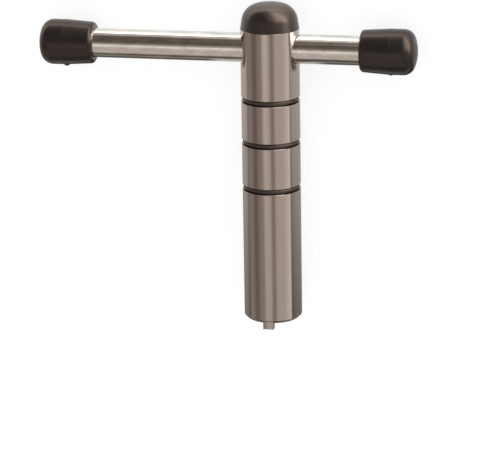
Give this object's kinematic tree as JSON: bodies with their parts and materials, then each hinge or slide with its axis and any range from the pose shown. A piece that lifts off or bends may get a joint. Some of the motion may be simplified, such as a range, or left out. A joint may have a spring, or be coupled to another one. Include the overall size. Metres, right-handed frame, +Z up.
{
  "type": "chainring bolt wrench",
  "caption": "T-handle peg wrench for slotted chainring nuts: grooved steel barrel with rubber grip rings, domed rubber top and a sliding bar with rubber ends.",
  "frame": {"origin": "centre of the barrel's working face, at the mouth of the recess that clears the bolt's end", "axes": "the tool lies on its side: +X along the sliding bar, +Y along the barrel from the lugs to the dome, +Z up"},
  "size_m": [0.0783, 0.0678, 0.012],
  "materials": {
    "barrel_steel": "fine turned satin",
    "bar_steel": "polished",
    "dome_rubber": "smooth moulded black rubber",
    "cap_rubber": "smooth moulded black rubber",
    "ring_rubber": "black seal rubber",
    "detent_steel": "bright",
    "screw_steel": "black oxide"
  },
  "bodies": {
    "barrel_body": {"barrel": "barrel_steel", "dome_cap": "dome_rubber", "o_ring_upper": "ring_rubber", "o_ring_middle": "ring_rubber", "o_ring_lower": "ring_rubber", "detent_ball": "detent_steel", "detent_spring": "detent_steel", "detent_screw": "screw_steel"},
    "bar_body": {"t_bar": "bar_steel", "bar_cap_left": "cap_rubber", "bar_cap_right": "cap_rubber"}
  },
  "joints": [
    {"name": "bar_slide", "type": "slide", "parent": "barrel_body", "child": "bar_body", "axis": [1, 0, 0], "range_m": [-0.0126, 0.0305]}
  ]
}
